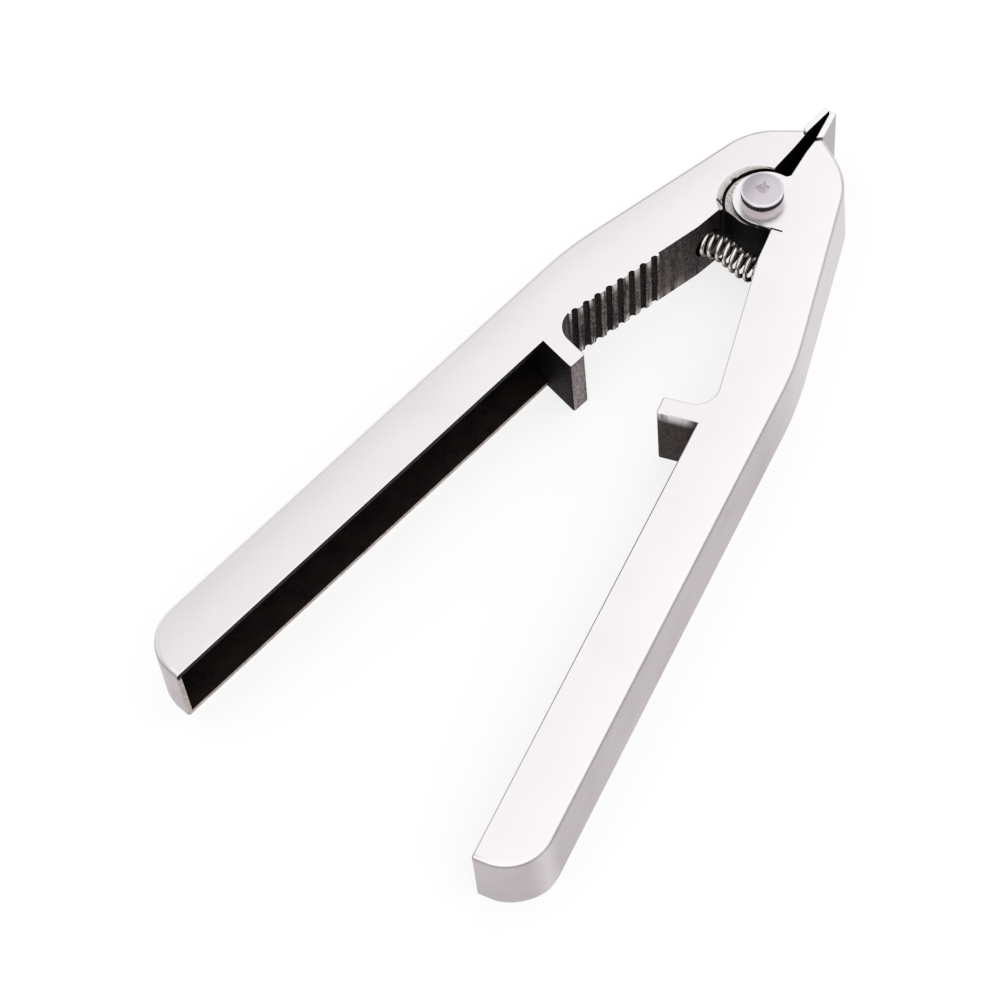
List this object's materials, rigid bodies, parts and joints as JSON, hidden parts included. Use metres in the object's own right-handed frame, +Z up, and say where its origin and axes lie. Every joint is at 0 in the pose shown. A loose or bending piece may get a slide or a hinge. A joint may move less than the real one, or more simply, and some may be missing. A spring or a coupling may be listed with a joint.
{
  "type": "wick trimmer pliers",
  "caption": "Spring-loaded reverse-action pliers with channel handles, a grooved gripping jaw behind a riveted lap pivot, and thin pointed tip blades.",
  "frame": {"origin": "pivot axis where it meets the flat underside that the tool lies on", "axes": "+Y from the pivot towards the tips, +Z up through the rivet's head, +X towards the right arm"},
  "size_m": [0.0834, 0.1684, 0.0183],
  "materials": {
    "arm_metal": "bright satin, cast faces left darker inside the jaws and channels",
    "blade_steel": "ground bright",
    "rivet_steel": "satin, peened centre",
    "spring_wire": "drawn wire, bright"
  },
  "bodies": {
    "right_half": {"right_arm": "arm_metal", "right_tip_blade": "blade_steel", "pivot_rivet": "rivet_steel", "return_spring": "spring_wire"},
    "left_half": {"left_arm": "arm_metal", "left_tip_blade": "blade_steel"}
  },
  "joints": [
    {"name": "squeeze", "type": "hinge", "parent": "right_half", "child": "left_half", "pos_m": [0, 0, 0.00775], "axis": [0, 0, 1], "range_deg": [0, 20.3], "stiffness_Nm_per_rad": 0.15, "springref_deg": -17.19, "deforming": ["return_spring"]}
  ]
}
